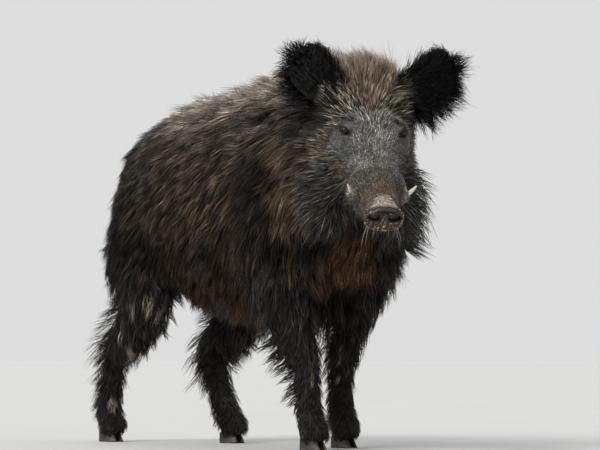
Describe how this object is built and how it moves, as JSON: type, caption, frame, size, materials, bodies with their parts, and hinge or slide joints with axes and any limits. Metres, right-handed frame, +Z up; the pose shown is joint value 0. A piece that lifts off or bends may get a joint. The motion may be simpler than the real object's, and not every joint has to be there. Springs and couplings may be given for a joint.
{
  "type": "wild boar",
  "caption": "Life-size still model of an adult male wild boar, standing with its head lowered and turned to its right.",
  "frame": {"origin": "middle of the model's box, on the floor under the soles", "axes": "+Z up; the trunk runs along Y with the head end at -Y; +X is the boar's left"},
  "size_m": [0.4736, 1.4626, 0.9089],
  "materials": {
    "coat": "coarse bristly fur, near black with grey-brown tips",
    "dark_coat": "shaggy blackish fur",
    "face": "short grizzled fur",
    "snout": "very short fur over wrinkled skin",
    "disc": "bare moist skin",
    "eye": "wet glossy dark brown",
    "ivory": "satin tusk ivory",
    "horn": "dull worn horn"
  },
  "bodies": {
    "root": {"trunk": "coat", "neck": "coat", "leg_front_left": "dark_coat", "leg_front_right": "dark_coat", "leg_hind_left": "dark_coat", "leg_hind_right": "dark_coat", "tail": "dark_coat", "lower_jaw": "dark_coat", "ear_left": "dark_coat", "ear_right": "dark_coat", "head": "face", "snout": "snout", "snout_disc": "disc", "eye_left": "eye", "eye_right": "eye", "tusk_left": "ivory", "tusk_right": "ivory", "hoof_front_right_outer": "horn", "dewclaw_front_right_outer": "horn", "hoof_front_right_inner": "horn", "dewclaw_front_right_inner": "horn", "hoof_front_left_outer": "horn", "dewclaw_front_left_outer": "horn", "hoof_front_left_inner": "horn", "dewclaw_front_left_inner": "horn", "hoof_hind_right_outer": "horn", "dewclaw_hind_right_outer": "horn", "hoof_hind_right_inner": "horn", "dewclaw_hind_right_inner": "horn", "hoof_hind_left_outer": "horn", "dewclaw_hind_left_outer": "horn", "hoof_hind_left_inner": "horn", "dewclaw_hind_left_inner": "horn"}
  },
  "joints": []
}
